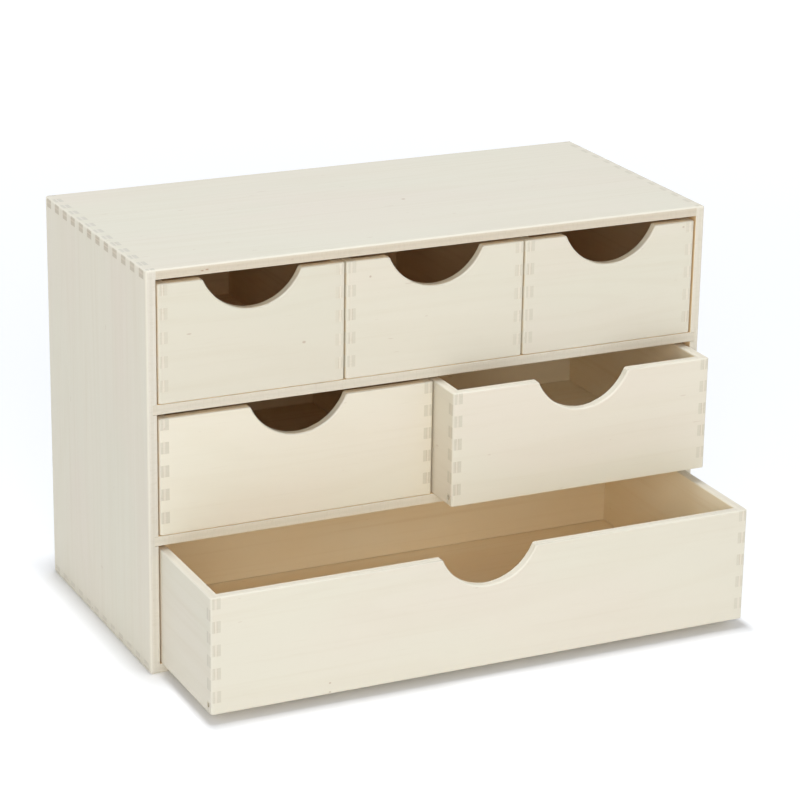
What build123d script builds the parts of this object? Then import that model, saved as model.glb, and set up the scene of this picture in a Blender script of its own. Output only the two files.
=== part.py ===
from build123d import *
import os

# A desktop chest of six small plywood drawers: three in the top row, two in the middle row and one
# at the bottom. Millimetres. The casing stands on the XY plane, centred on the Z axis, and the
# drawers open towards -Y.

# Casing
casing_width = 420.0
casing_depth = 200.0
casing_height = 286.0
panel = 7.0               # plywood of the casing's sides, top, bottom and shelves
housing = 3.0             # how far a shelf end goes into a side
casing_arris = 1.2        # bevel sanded on the casing's outside edges
opening_arris = 0.5       # bevel on the edges round the drawer openings

# Back panel, let into a rebate round the casing's rear opening
back_ply = 3.0
back_inset = 0.2          # how far it lies below the rear edges
back_lap = 3.5            # how far it reaches over the sides, top and bottom
back_play = 0.2           # gap round its edge
rebate_corner = 6.0       # radius that the cutter leaves in the rebate's corners

# Drawers
wall = 7.0                # plywood of a drawer's front, back and sides
side_gap = 1.0            # between a drawer and its neighbour or the casing
top_gap = 3.0             # between a drawer's rim and the panel above it
rest_gap = 0.2            # between a drawer's lower edges and the panel it slides on
rear_gap = 0.3            # between a closed drawer and the back panel
corner_arris = 1.2        # bevel sanded on a drawer's upright corners
rim_arris = 0.8           # bevel on the edges of a drawer's rim and finger cut-out
foot_arris = 0.5          # bevel on a drawer's lower outside edges

# Drawer bottom, held in a groove round the inside of the walls
base_ply = 3.0
groove_height = 4.0       # from a drawer's lower edges to the groove
groove_depth = 3.5
groove_play = 0.3         # how much wider and deeper the groove is than the drawer bottom needs

# Finger cut-out in the middle of each drawer front
cutout_radius = 38.0
cutout_rise = 14.0        # height of its centre above the rim
cutout_corner = 2.5       # rounding where it meets the rim

# Corner joints
finger_width = 8.3        # the cutter's; each joint takes the nearest width that fills it evenly

# How far the drawers stand open
middle_right_open = 29.0
bottom_open = 90.0

# Drawers of each row, from the top row down: name and how far it stands open
rows = (
    (("top_left", 0.0), ("top_middle", 0.0), ("top_right", 0.0)),
    (("middle_left", 0.0), ("middle_right", middle_right_open)),
    (("bottom", bottom_open),),
)

# Sizes that follow from these
row_height = (casing_height - (len(rows) + 1) * panel) / len(rows)
drawer_height = row_height - top_gap - rest_gap
drawer_depth = casing_depth - back_ply - back_inset - rear_gap
inner_width = casing_width - 2 * panel
inner_height = casing_height - 2 * panel
rebate_depth = back_ply + back_inset
shelf_depth = casing_depth - rebate_depth
groove_width = base_ply + groove_play


def finger_pairs(length):
    """Number of pairs of fingers along a joint of this length."""
    return round(length / (2 * finger_width))


def save(piece, name):
    """Label a finished piece and write it to its own file."""
    piece.part.label = name
    export_step(piece.part, f"parts/{name}.step")


# ---------------------------------------------------------------------------------------- casing

casing_pairs = finger_pairs(casing_depth)
casing_finger = casing_depth / (2 * casing_pairs)
shelf_heights = [level * (panel + row_height) for level in range(1, len(rows))]


def casing_shape():
    """The glued and sanded casing as one form, from which each panel takes its eased edges."""
    front = Plane.XZ.offset(casing_depth / 2)
    rear = Plane.XZ.offset(-casing_depth / 2)
    middle = (0, casing_height / 2)
    with BuildPart() as shape:
        with BuildSketch(front):
            with Locations(middle):
                Rectangle(casing_width, casing_height)
        extrude(amount=-casing_depth)
        chamfer(shape.edges(), casing_arris)
        with BuildSketch(front):
            with Locations(middle):
                Rectangle(inner_width, inner_height)
        extrude(amount=-casing_depth, mode=Mode.SUBTRACT)
        opening = shape.faces().sort_by(Axis.Y)[0].inner_wires()
        chamfer(opening.edges(), opening_arris)
        with BuildSketch(rear):
            with Locations(middle):
                RectangleRounded(inner_width + 2 * back_lap, inner_height + 2 * back_lap, rebate_corner)
        extrude(amount=rebate_depth, mode=Mode.SUBTRACT)
    return shape.part


def casing_side(casing, side):
    """A side panel: fingers along both ends, and a housing for the end of each shelf."""
    inner_face = Plane.YZ.offset(side * inner_width / 2)
    with BuildPart() as piece:
        with BuildSketch(inner_face):
            with Locations((0, casing_height / 2)):
                Rectangle(casing_depth, casing_height)
                with GridLocations(2 * casing_finger, casing_height - panel, casing_pairs, 2):
                    Rectangle(casing_finger, panel, mode=Mode.SUBTRACT)
        extrude(amount=side * panel)
        add(casing, mode=Mode.INTERSECT)
        with BuildSketch(inner_face):
            with Locations(*[(0, height + panel / 2) for height in shelf_heights]):
                Rectangle(casing_depth, panel)
        extrude(amount=side * housing, mode=Mode.SUBTRACT)
    return piece


def casing_end(casing, height):
    """The top or bottom panel, whose fingers fill the gaps between those of the sides."""
    with BuildPart() as piece:
        with BuildSketch(Plane.XY.offset(height)):
            Rectangle(casing_width, casing_depth)
            with GridLocations(casing_width - panel, 2 * casing_finger, 2, casing_pairs + 1):
                Rectangle(panel, casing_finger, mode=Mode.SUBTRACT)
        extrude(amount=panel)
        add(casing, mode=Mode.INTERSECT)
    return piece


def shelf(height):
    """A shelf that carries a row of drawers, with its ends in the sides' housings."""
    with BuildPart() as piece:
        with BuildSketch(Plane.XY.offset(height)):
            with Locations((0, -casing_depth / 2)):
                Rectangle(inner_width + 2 * housing, shelf_depth, align=(Align.CENTER, Align.MIN))
        extrude(amount=panel)
        chamfer(piece.faces().sort_by(Axis.Y)[0].edges().filter_by(Axis.X), opening_arris)
    return piece


def back_panel():
    """The thin back, which drops into the rebate from behind."""
    with BuildPart() as piece:
        with BuildSketch(Plane.XZ.offset(rebate_depth - casing_depth / 2)):
            with Locations((0, casing_height / 2)):
                RectangleRounded(
                    inner_width + 2 * (back_lap - back_play),
                    inner_height + 2 * (back_lap - back_play),
                    rebate_corner - back_play,
                )
        extrude(amount=-back_ply)
    return piece


# --------------------------------------------------------------------------------------- drawers

drawer_pairs = finger_pairs(drawer_height)
drawer_finger = drawer_height / (2 * drawer_pairs)


def facing_front(place, distance):
    """Plane across a drawer, this far behind the middle of its depth, with +X right and +Z up."""
    return Plane(place + Vector(0, distance, 0), x_dir=(1, 0, 0), z_dir=(0, -1, 0))


def facing_right(place, distance):
    """Plane along a drawer, this far right of its middle, with +Y right and +Z up."""
    return Plane(place + Vector(distance, 0, 0), x_dir=(0, 1, 0), z_dir=(1, 0, 0))


def ends_of_rim(shape):
    """The two edges through the front wall where a drawer's rim stops at the finger cut-out."""
    rim = shape.faces().sort_by(Axis.Z)[-1]
    return rim.edges().filter_by(Axis.Y).filter_by(lambda edge: edge.length < 1.5 * wall)


def drawer_shape(place, width):
    """The four glued and sanded walls of a drawer as one form, with the finger cut-out."""
    with BuildPart() as shape:
        with BuildSketch(Plane(place)):
            plan = Rectangle(width, drawer_depth)
            chamfer(plan.vertices(), corner_arris)
            Rectangle(width - 2 * wall, drawer_depth - 2 * wall, mode=Mode.SUBTRACT)
        extrude(amount=drawer_height)
        with BuildSketch(facing_front(place, -drawer_depth / 2)):
            with Locations((0, drawer_height + cutout_rise)):
                Circle(cutout_radius)
        extrude(amount=-wall, mode=Mode.SUBTRACT)
        fillet(ends_of_rim(shape), cutout_corner)
        rim = shape.faces().sort_by(Axis.Z)[-1]
        cutout_edges = shape.edges().filter_by(GeomType.CIRCLE)
        chamfer(rim.edges() - ends_of_rim(shape) + cutout_edges, rim_arris)
        foot = shape.faces().sort_by(Axis.Z)[0]
        chamfer(foot.outer_wire().edges(), foot_arris)
    return shape.part


def cross_wall(shape, place, width, outer_face, inwards):
    """A drawer's front or back: fingers down both ends, and a groove along its whole inner face."""
    with BuildPart() as piece:
        with BuildSketch(facing_front(place, outer_face)):
            with Locations((0, drawer_height / 2)):
                Rectangle(width, drawer_height)
            with Locations((0, (drawer_height + drawer_finger) / 2)):
                with GridLocations(width - wall, 2 * drawer_finger, 2, drawer_pairs):
                    Rectangle(wall, drawer_finger, mode=Mode.SUBTRACT)
        extrude(amount=-inwards * wall)
        add(shape, mode=Mode.INTERSECT)
        with BuildSketch(facing_front(place, outer_face + inwards * wall)):
            with Locations((0, groove_height + groove_width / 2)):
                Rectangle(width, groove_width)
        extrude(amount=inwards * groove_depth, mode=Mode.SUBTRACT)
    return piece


def side_wall(shape, place, outer_face, inwards):
    """A drawer's side: fingers down both ends that fill the gaps in the front and back."""
    with BuildPart() as piece:
        with BuildSketch(facing_right(place, outer_face)):
            with Locations((0, drawer_height / 2)):
                Rectangle(drawer_depth, drawer_height)
            with Locations((0, (drawer_height - drawer_finger) / 2)):
                with GridLocations(drawer_depth - wall, 2 * drawer_finger, 2, drawer_pairs):
                    Rectangle(wall, drawer_finger, mode=Mode.SUBTRACT)
        extrude(amount=inwards * wall)
        add(shape, mode=Mode.INTERSECT)
        with BuildSketch(facing_right(place, outer_face + inwards * wall)):
            with Locations((0, groove_height + groove_width / 2)):
                Rectangle(drawer_depth, groove_width)
        extrude(amount=-inwards * groove_depth, mode=Mode.SUBTRACT)
    return piece


def drawer_base(place, width):
    """The thin drawer bottom, which lies on the groove's lower face."""
    reach = 2 * (groove_depth - groove_play - wall)
    with BuildPart() as piece:
        with BuildSketch(Plane(place).offset(groove_height)):
            Rectangle(width + reach, drawer_depth + reach)
        extrude(amount=base_ply)
    return piece


def make_drawer(name, place, width):
    """Write the five pieces of one drawer. Its place is the middle of its underside."""
    shape = drawer_shape(place, width)
    half_width = width / 2
    half_depth = drawer_depth / 2
    save(cross_wall(shape, place, width, -half_depth, 1), f"{name}_drawer_front")
    save(cross_wall(shape, place, width, half_depth, -1), f"{name}_drawer_back")
    save(side_wall(shape, place, -half_width, 1), f"{name}_drawer_left_side")
    save(side_wall(shape, place, half_width, -1), f"{name}_drawer_right_side")
    save(drawer_base(place, width), f"{name}_drawer_bottom")


# ---------------------------------------------------------------------------------------- pieces

os.makedirs("parts", exist_ok=True)

casing = casing_shape()
save(casing_side(casing, -1), "left_side")
save(casing_side(casing, 1), "right_side")
save(casing_end(casing, 0), "bottom_panel")
save(casing_end(casing, casing_height - panel), "top_panel")
save(shelf(shelf_heights[0]), "lower_shelf")
save(shelf(shelf_heights[1]), "upper_shelf")
save(back_panel(), "back_panel")

for level, row in enumerate(reversed(rows)):
    floor = panel + level * (panel + row_height)
    width = (inner_width - (len(row) + 1) * side_gap) / len(row)
    for index, (name, opened) in enumerate(row):
        across = (index - (len(row) - 1) / 2) * (width + side_gap)
        along = (drawer_depth - casing_depth) / 2 - opened
        make_drawer(name, Vector(across, along, floor + rest_gap), width)
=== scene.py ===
"""Looks of the desktop mini drawers: pale birch plywood, softened arrises and soft studio light."""
import math
import random

import bpy
from mathutils import Matrix, Vector


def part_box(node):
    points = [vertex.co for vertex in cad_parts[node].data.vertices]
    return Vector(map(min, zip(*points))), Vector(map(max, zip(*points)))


MM = 0.001
AXES = "XYZ"

# ---------------------------------------------------------------- rounding of the CAD's edges
ROUNDED = 0.6                 # share of an arris's leg that each of its two edges is rounded by
ARRIS_LEGS = (0.5, 0.8, 1.2)  # legs of the flat arrises in the CAD, mm
CUTOUT_LEG = 0.8              # leg of the one round a finger cut-out, mm
JOINT_BREAK = 0.07            # mm by which the square edges at a joint are broken
SHARP_TURN = 25               # degrees between the sides of an edge from which it is sharp
ARRIS_TURN = 65               # degrees below which one side of a sharp edge is an arris
STRAIGHT = 0.95               # part of a normal along one axis from which its side is no arris
NEAR = 0.05                   # mm within which a leg is taken to be met
SEGMENTS = 3                  # across one rounded edge
WELDED = 0.001 * MM           # vertices closer than this are one
FLAT_TURN = 0.5               # degrees below which two faces are one flat

# ---------------------------------------------------------------- plywood
PLY_LINE = 0.32 * MM          # visible width of a glue line
PLY_BLUR = 0.15 * MM          # half the width over which one ply turns into the next
PLY_WOBBLE = 0.35 * MM        # how far the plies stray from level
CROSS_BAND = 0.124            # half the cross band, in thicknesses of the board
BUMP_HEIGHT = 0.05 * MM
END_ON = (0.3, 0.7)           # part of a normal along the grain, from long grain to end grain
SHIFT = 3                     # m by which the grain of a board is moved at most, to be its own

# noises along the grain: (stretch, features per metre, detail, distortion)
TONE = (0.35, 16, 2, 0.4)
TINT = (0.5, 13, 1, 0.2)
CONTOUR = (0.1, 17, 1.5, 0.1)
STREAKS = (0.02, 260, 3)
FIBRES = (0.035, 1500, 2)
FLECKS = (0.25, 420, 0)
FIGURE_LINES = 62.0           # radians of cathedral lines as CONTOUR goes from 0 to 1

# noises through the board
CELL_WALLS = (0.25, 900, 3)
SHORT_BREAKS = (0.1, 70, 2)
LONG_BREAKS = (0.1, 9, 1)
STRAYING = (1, 110, 2)

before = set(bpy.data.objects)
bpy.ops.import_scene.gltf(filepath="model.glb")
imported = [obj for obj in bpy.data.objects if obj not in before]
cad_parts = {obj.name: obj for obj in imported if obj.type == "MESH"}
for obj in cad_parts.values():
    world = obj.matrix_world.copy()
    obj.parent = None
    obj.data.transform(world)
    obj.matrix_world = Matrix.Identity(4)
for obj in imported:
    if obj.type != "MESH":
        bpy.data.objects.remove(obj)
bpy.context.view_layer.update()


# ---------------------------------------------------------------- colours
def linear(red, green, blue):
    """Scene colour of an sRGB one given in 0 to 255."""
    def channel(value):
        value /= 255
        return value / 12.92 if value <= 0.04045 else ((value + 0.055) / 1.055) ** 2.4

    return (channel(red), channel(green), channel(blue), 1.0)


# veneer that faces out
FACE = linear(223, 217, 200)
FACE_PINK = linear(223, 214, 199)
FACE_GREEN = linear(221, 217, 200)
STREAK = linear(210, 200, 178)
FIBRE = linear(201, 190, 166)

# veneer that faces in, as (dark, light, streaks), in two copies: the first, for the two open
# drawers, lightened as painted light; the second, elsewhere, rawer wood darkened partly by painted
# shade
INSIDE_PAINTED_LIGHT = (linear(237, 224, 196), linear(241, 233, 211), linear(224, 207, 174))
RAW_INSIDE_AND_SHADE = (linear(228, 201, 157), linear(234, 211, 171), linear(207, 175, 129))

# edges
# arris colour: partly sanded wood, partly a painted highlight
ARRIS_SANDED_AND_HIGHLIGHT = linear(223, 218, 203)
LONG_PLY = linear(219, 212, 196)
END_PLY = linear(209, 203, 186)
CELLS = linear(198, 189, 166)
GLUE = linear(182, 164, 136)

# knots and specks
MARK = linear(150, 104, 66)


# ---------------------------------------------------------------- the boards
# node: (axis through the board, axis of the face grain, side that faces out)
BOARDS = {
    "left_side": ("X", "Z", -1),
    "right_side": ("X", "Z", 1),
    "top_panel": ("Z", "X", 1),
    "bottom_panel": ("Z", "X", -1),
    "upper_shelf": ("Z", "X", 0),
    "lower_shelf": ("Z", "X", 0),
    "back_panel": ("Y", "X", 1),
}
DRAWERS = ("top_left", "top_middle", "top_right", "middle_left", "middle_right", "bottom")
SHUT_DRAWERS = DRAWERS[:4]
for drawer in DRAWERS:
    BOARDS[drawer + "_drawer_front"] = ("Y", "X", -1)
    BOARDS[drawer + "_drawer_back"] = ("Y", "X", 1)
    BOARDS[drawer + "_drawer_left_side"] = ("X", "Y", -1)
    BOARDS[drawer + "_drawer_right_side"] = ("X", "Y", 1)
    BOARDS[drawer + "_drawer_bottom"] = ("Z", "X", -1)

# boards whose inside the photograph shows only in dark finger cut-outs, or not at all; their
# insides take the darker copy, partly painted shade
DARK_INSIDE = [name for name in BOARDS if not name.startswith(("middle_right", "bottom_drawer"))]

# what the colours of a board's faces and of its edges are multiplied by, after the photograph:
# partly the boards' own tones, partly painted light and shade that evens out how the lamps fall on
# them
FACE_TONES_AND_PAINTED_LIGHT = {
    "top_left_drawer_front": 0.93,
    "top_middle_drawer_front": 0.955,
    "top_right_drawer_front": 0.955,
    # painted light: the middle row's fronts are lightened against the shade the open bottom drawer
    # casts on them, and the top row's fronts are darkened to match
    "middle_left_drawer_front": 1.05,
    "middle_right_drawer_front": 1.01,
    "bottom_drawer_front": 0.99,
    "top_panel": 0.97,
}
EDGE_TONES_AND_PAINTED_LIGHT = {
    "top_panel": (0.88, 0.84, 0.80),
    "upper_shelf": (0.94, 0.93, 0.92),
    "left_side": (0.97, 0.98, 1.01),
    "bottom_panel": (1.03, 1.03, 1.04),
}
for drawer in DRAWERS:
    EDGE_TONES_AND_PAINTED_LIGHT[drawer + "_drawer_right_side"] = (1.03, 1.03, 1.03)
# painted light: every edge of a shut drawer's front, above all the rim of its finger cut-out, is
# lightened to stand in for frontal light that the lamps don't bring there
for drawer in SHUT_DRAWERS:
    EDGE_TONES_AND_PAINTED_LIGHT[drawer + "_drawer_front"] = (1.15, 1.10, 1.02)

# node: [(centre, half lengths along X, Y and Z, strength)], all in mm
MARKS = {
    "top_panel": [
        ((20, -4, 286), (1.8, 1.5, 3), 0.5),
        ((-170.6, -100, 281.8), (1.3, 3, 0.6), 0.6),
        ((-167.2, -100, 282.2), (1.5, 3, 0.7), 0.6),
    ],
    "top_left_drawer_front": [
        ((-180.2, -100, 239.5), (2.2, 3, 0.6), 0.35),
        ((-97.9, -100, 223.6), (1.7, 3, 1.1), 0.4),
    ],
    "top_middle_drawer_front": [((-49.5, -100, 263.8), (1.1, 3, 1.0), 0.4)],
    "top_right_drawer_front": [((193, -100, 272.2), (1.2, 3, 0.8), 0.4)],
    "bottom_drawer_front": [
        ((-117.2, -190, 15.2), (1.0, 3, 0.8), 0.45),
        ((-117.2, -190, 8.6), (1.1, 3, 0.7), 0.45),
    ],
    "left_side": [
        ((-210, 69.8, 4.6), (3, 2.6, 0.6), 0.3),
        ((-210, 17, 3.5), (3, 0.9, 0.7), 0.4),
        ((-210, -4.9, 43), (3, 3.0, 1.2), 0.1),
    ],
}


# ---------------------------------------------------------------- shader nodes
class Graph:
    """Shader nodes of one material or world, added and joined in one call each."""

    def __init__(self, tree):
        self.tree = tree
        self.tree.nodes.clear()

    def add(self, kind, inputs=(), **settings):
        node = self.tree.nodes.new("ShaderNode" + kind)
        for name, value in settings.items():
            setattr(node, name, value)
        for key, value in dict(inputs).items():
            if isinstance(value, bpy.types.NodeSocket):
                self.tree.links.new(value, node.inputs[key])
            else:
                node.inputs[key].default_value = value
        return node

    def math(self, operation, a, b=0.0):
        return self.add("Math", {0: a, 1: b}, operation=operation).outputs[0]

    def vector(self, operation, a, b):
        return self.add("VectorMath", {0: a, 1: b}, operation=operation).outputs[0]

    def length(self, vector):
        return self.add("VectorMath", {0: vector}, operation="LENGTH").outputs["Value"]

    def split(self, vector):
        """The X, Y and Z of a vector."""
        return self.add("SeparateXYZ", {0: vector}).outputs

    def ramp(self, value, low, high, start=0.0, end=1.0):
        """start below low, end above high and a soft step between them."""
        return self.add("MapRange", {0: value, 1: low, 2: high, 3: start, 4: end},
                        interpolation_type="SMOOTHSTEP").outputs[0]

    def mix(self, share, base, top, blend="MIX"):
        return self.add("Mix", {0: share, 6: base, 7: top},
                        data_type="RGBA", blend_type=blend).outputs[2]

    def lay(self, base, top, value, low, high, start=0.0, end=1.0):
        """base with top over it, by a ramp of value from low to high."""
        return self.mix(self.ramp(value, low, high, start, end), base, top)

    def tinted(self, base, red, green, blue):
        return self.mix(1.0, base, [red, green, blue, 1.0], "MULTIPLY")

    def noise(self, point, axis, stretch, scale, detail, distortion=0.0):
        """Noise with features of 1 / scale, longer along axis where stretch is below 1."""
        stretches = [stretch if name == axis else 1.0 for name in AXES]
        stretched = self.vector("MULTIPLY", point, stretches)
        return self.add("TexNoise", {"Vector": stretched, "Scale": scale, "Detail": detail,
                                     "Distortion": distortion}).outputs[0]


def material(name):
    """A new material and the graph of its nodes."""
    made = bpy.data.materials.new(name)
    made.use_nodes = True
    return made, Graph(made.node_tree)


# ---------------------------------------------------------------- wood
def veneer(g, name, point, grain, streak, fibre, inward):
    """Colour of a board's faces: pale outside; where a face looks inward, rawer wood in a darker
    copy that is partly painted shade, and in the two open drawers a copy lightened as painted
    light.
    """
    tone = g.noise(point, grain, *TONE)
    tint = g.noise(point, grain, *TINT)
    contour = g.noise(point, grain, *CONTOUR)
    figure = g.math("SINE", g.math("MULTIPLY", contour, FIGURE_LINES))
    outer = g.lay(FACE_GREEN, FACE_PINK, tint, 0.36, 0.64)
    outer = g.lay(outer, FACE, tone, 0.3, 0.7, 0.25, 0.9)
    outer = g.lay(outer, STREAK, streak, 0.52, 0.78, 0.0, 0.15)
    outer = g.lay(outer, STREAK, figure, 0.2, 1.0, 0.0, 0.08)
    outer = g.lay(outer, FIBRE, fibre, 0.62, 0.8, 0.0, 0.13)
    # per-board tone, on the fronts partly painted light and shade
    outer = g.tinted(outer, *[FACE_TONES_AND_PAINTED_LIGHT.get(name, 1.0)] * 3)

    # painted light and shade: the open drawers' insides take the lightened copy, the other boards
    # the darker one
    dark, light, streaked = RAW_INSIDE_AND_SHADE if name in DARK_INSIDE else INSIDE_PAINTED_LIGHT
    inner = g.lay(dark, light, tone, 0.35, 0.7)
    inner = g.lay(inner, streaked, streak, 0.5, 0.78, 0.0, 0.35)
    return g.lay(outer, inner, inward, 0.80, 0.97)


def plies(g, name, point, through, depth, thickness, end_on, cells):
    """Colour of a board's edges: two plies with the face grain, a cross band, two glue lines."""
    straying = g.math("SUBTRACT", g.noise(point, through, *STRAYING), 0.5)
    level = g.math("ADD", depth, g.math("MULTIPLY", straying, PLY_WOBBLE))
    middle = g.math("ABSOLUTE", g.math("SUBTRACT", level, thickness / 2))
    band = CROSS_BAND * thickness
    cross = g.ramp(middle, band - PLY_BLUR, band + PLY_BLUR, 1.0, 0.0)
    end_grain = g.math("ABSOLUTE", g.math("SUBTRACT", end_on, cross))
    end_grain = g.math("MULTIPLY", end_grain, g.ramp(end_on, *END_ON, 0.4, 1.0))
    edge = g.mix(end_grain, LONG_PLY, END_PLY)
    edge = g.lay(edge, CELLS, cells, 0.45, 0.75, 0.0, 0.22)

    off_line = g.math("ABSOLUTE", g.math("SUBTRACT", middle, band))
    line = g.ramp(off_line, PLY_LINE * 0.3, PLY_LINE * 0.9, 1.0, 0.0)
    seen = g.ramp(g.noise(point, through, *SHORT_BREAKS), 0.36, 0.62, 0.1, 0.7)
    long_breaks = g.ramp(g.noise(point, through, *LONG_BREAKS), 0.38, 0.6, 0.15, 0.9)
    seen = g.math("MULTIPLY", seen, long_breaks)
    seen = g.math("MULTIPLY", seen, g.ramp(end_on, *END_ON, 0.1, 0.9))
    edge = g.mix(g.math("MULTIPLY", line, seen), edge, GLUE)
    # per-board edge tone; on the shut drawers' fronts it is painted light
    return g.tinted(edge, *EDGE_TONES_AND_PAINTED_LIGHT.get(name, (1.0, 1.0, 1.0)))


def marked(g, colour, name, here, point, grain):
    """colour with the knots of one board at their places and small flecks all over."""
    for centre, half, strength in MARKS.get(name, ()):
        away = g.vector("SUBTRACT", here, [c * MM for c in centre])
        away = g.vector("MULTIPLY", away, [1 / (h * MM) for h in half])
        colour = g.lay(colour, MARK, g.length(away), 0.35, 1.1, strength, 0.0)
    return g.lay(colour, MARK, g.noise(point, grain, *FLECKS), 0.84, 0.9, 0.0, 0.16)


def plywood(name, through, grain, outward):
    """The plywood of one board: veneer on its two faces and plies round its edges."""
    made, g = material("plywood_" + name)
    low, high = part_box(name)
    n = AXES.index(through)
    rng = random.Random(name)
    shift = [rng.uniform(-SHIFT, SHIFT) for _ in AXES]
    coords = g.add("TexCoord")
    here = coords.outputs["Object"]
    point = g.vector("ADD", here, shift)
    depth = g.math("SUBTRACT", g.split(here)[n], low[n])
    facing = g.split(coords.outputs["Normal"])
    across, end_on = [g.math("ABSOLUTE", facing[AXES.index(axis)]) for axis in (through, grain)]
    inward = g.math("MULTIPLY", facing[n], float(-outward)) if outward else across
    streak = g.noise(point, grain, *STREAKS)
    fibre = g.noise(point, grain, *FIBRES)
    cells = g.noise(point, through, *CELL_WALLS)

    on_face = g.ramp(across, 0.45, 0.62)
    face = veneer(g, name, point, grain, streak, fibre, inward)
    edge = plies(g, name, point, through, depth, high[n] - low[n], end_on, cells)
    colour = g.mix(on_face, edge, face)

    # paler arrises, which look along no axis: partly sanded wood, partly a painted highlight
    straight = 0.0
    for part in facing:
        straight = g.math("MAXIMUM", straight, g.math("ABSOLUTE", part))
    colour = g.lay(colour, ARRIS_SANDED_AND_HIGHLIGHT, straight, 0.78, 0.96, 0.75, 0.0)
    colour = marked(g, colour, name, here, point, grain)

    # sanded surface
    height = g.math("ADD", g.math("MULTIPLY", streak, 0.6), g.math("MULTIPLY", fibre, 0.5))
    height = g.math("ADD", height, g.math("MULTIPLY", g.math("SUBTRACT", 1.0, on_face), cells))
    bump = g.add("Bump", {"Height": height, "Distance": BUMP_HEIGHT, "Strength": 0.4}).outputs[0]
    rough = g.math("ADD", streak, g.math("MULTIPLY", fibre, 0.5))
    shader = g.add("BsdfPrincipled", {"Base Color": colour, "Normal": bump,
                                      "Roughness": g.ramp(rough, 0.45, 1.05, 0.5, 0.68),
                                      "Specular IOR Level": 0.35})
    g.add("OutputMaterial", {"Surface": shader.outputs[0]})
    return made


# ---------------------------------------------------------------- rounding
def edge_weights(mesh, low, high):
    """Bevel weights, in mm: the edges of a flat arris round most of it off, other sharp ones
    lose a hair."""
    corner = [tuple(round(x * 1e6) for x in vertex.co) for vertex in mesh.vertices]
    sides = {}
    for polygon in mesh.polygons:
        for key in polygon.edge_keys:
            sides.setdefault(frozenset(corner[i] for i in key), []).append(polygon.normal)
    weights = mesh.attributes.new("bevel_weight_edge", "FLOAT", "EDGE").data
    for edge in mesh.edges:
        a, b = edge.vertices
        normals = sides[frozenset((corner[a], corner[b]))]
        turn = math.degrees(normals[0].angle(normals[-1]))
        if turn < SHARP_TURN:
            continue
        weights[edge.index].value = JOINT_BREAK
        if turn < ARRIS_TURN and any(max(abs(x) for x in normal) > STRAIGHT for normal in normals):
            middle = (mesh.vertices[a].co + mesh.vertices[b].co) / 2
            inset = sorted(min(m - l, h - m) / MM for m, l, h in zip(middle, low, high))
            on_box = [leg for leg in ARRIS_LEGS if inset[0] < NEAR and abs(inset[1] - leg) < NEAR]
            weights[edge.index].value = ROUNDED * (on_box or [CUTOUT_LEG])[0]


def soften(board):
    """Rounds the arrises of a CAD board and opens a hairline at its joints, all by modifiers."""
    mesh = board.data
    if "custom_normal" in mesh.attributes:
        mesh.attributes.remove(mesh.attributes["custom_normal"])
    mesh.shade_smooth()
    edge_weights(mesh, *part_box(board.name))
    weld = board.modifiers.new("weld", "WELD")
    weld.merge_threshold = WELDED
    flats = board.modifiers.new("flats", "DECIMATE")
    flats.decimate_type = "DISSOLVE"
    flats.angle_limit = math.radians(FLAT_TURN)
    bevel = board.modifiers.new("arrises", "BEVEL")
    bevel.width = 1 * MM
    bevel.segments = SEGMENTS
    bevel.limit_method = "WEIGHT"
    bevel.use_clamp_overlap = False
    bevel.harden_normals = True


for name, (through, grain, outward) in BOARDS.items():
    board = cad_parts[name]
    board.data.materials.clear()
    board.data.materials.append(plywood(name, through, grain, outward))
    soften(board)


# ---------------------------------------------------------------- floor, light and camera
WARM = (1.0, 0.97, 0.92)
DAYLIGHT = (0.9, 0.94, 1.0)
SKY = (0.95, 0.97, 1.0)
PAPER = (0.93, 0.93, 0.935)
FLOOR_REACH = 15                # m from the middle to each side of the floor

PHOTO_SIDE = 800                # px
FOCAL_LENGTH = 2954.1           # px of the photograph
SENSOR = 36                     # mm
CAMERA_PLACE = (-0.8510, -1.8222, 0.8392)
CAMERA_RIGHT = (0.90406, -0.42712, 0.01538)
CAMERA_FORWARD = (0.40790, 0.85151, -0.32948)

scene = bpy.context.scene


def linked(name, data):
    """A new object of the scene."""
    made = bpy.data.objects.new(name, data)
    scene.collection.objects.link(made)
    return made


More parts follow.
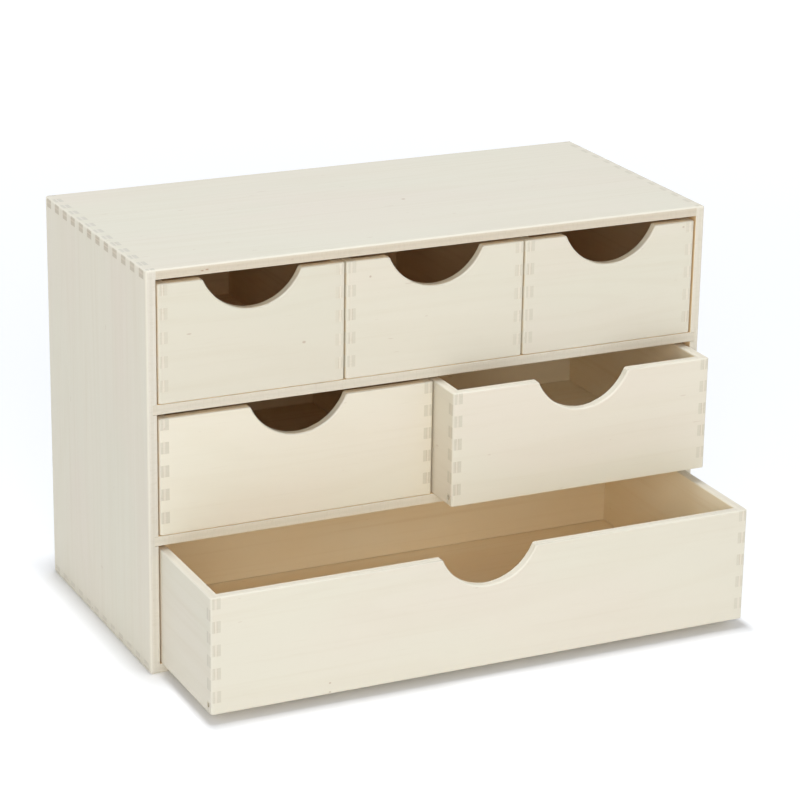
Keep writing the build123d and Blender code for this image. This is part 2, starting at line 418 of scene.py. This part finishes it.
def studio_floor():
    """White paper that glows far from the object, so that it runs out into the background."""
    mesh = bpy.data.meshes.new("floor")
    signs = ((-1, -1), (1, -1), (1, 1), (-1, 1))
    corners = [(x * FLOOR_REACH, y * FLOOR_REACH, 0) for x, y in signs]
    mesh.from_pydata(corners, [], [(0, 1, 2, 3)])
    paper, g = material("studio_paper")
    from_middle = g.length(g.add("TexCoord").outputs["Object"])
    coat = g.add("BsdfPrincipled", {"Base Color": (*PAPER, 1), "Roughness": 0.9,
                                    "Specular IOR Level": 0.1, "Emission Color": (*WARM, 1),
                                    "Emission Strength": g.ramp(from_middle, 0.2, 4.5, 0.03, 0.9)})
    g.add("OutputMaterial", {"Surface": coat.outputs[0]})
    mesh.materials.append(paper)
    floor = linked("floor", mesh)


def studio_sky():
    """A pale world, lighter at the horizon than above."""
    world = bpy.data.worlds.new("studio")
    world.use_nodes = True
    g = Graph(world.node_tree)
    height = g.split(g.add("TexCoord").outputs["Generated"])["Z"]
    light = g.add("Background", {"Color": (*SKY, 1),
                                 "Strength": g.ramp(height, 0.02, 0.25, 0.95, 0.45)})
    g.add("OutputWorld", {"Surface": light.outputs[0]})
    scene.world = world


def softbox(name, place, target, width, height, power, colour):
    """A rectangular area light at place that faces target."""
    lamp = bpy.data.lights.new(name, "AREA")
    lamp.shape = "RECTANGLE"
    lamp.size = width
    lamp.size_y = height
    lamp.energy = power
    lamp.color = colour
    holder = linked(name, lamp)
    holder.location = place
    holder.rotation_euler = (Vector(target) - Vector(place)).to_track_quat("-Z", "Y").to_euler()


def photo_camera():
    """The camera at the photograph's viewing angle."""
    lens = bpy.data.cameras.new("camera")
    lens.sensor_width = SENSOR
    lens.lens = FOCAL_LENGTH * SENSOR / PHOTO_SIDE
    lens.clip_start = 0.05
    right = Vector(CAMERA_RIGHT).normalized()
    forward = Vector(CAMERA_FORWARD).normalized()
    up = right.cross(forward).normalized()
    turned = Matrix((right, up, -forward)).transposed().to_4x4()
    camera = linked("camera", lens)
    camera.matrix_world = Matrix.Translation(CAMERA_PLACE) @ turned
    scene.camera = camera


studio_floor()
studio_sky()
softbox("key", place=(-0.10, -0.02, 4.0), target=(-0.10, -0.02, 0),
        width=0.24, height=0.7, power=90, colour=DAYLIGHT)
softbox("fill", place=(-1.4, -3.4, 1.45), target=(0, 0, 0.15),
        width=2.0, height=2.0, power=56, colour=WARM)
photo_camera()
scene.view_settings.view_transform = "Standard"
scene.cycles.diffuse_bounces = 10
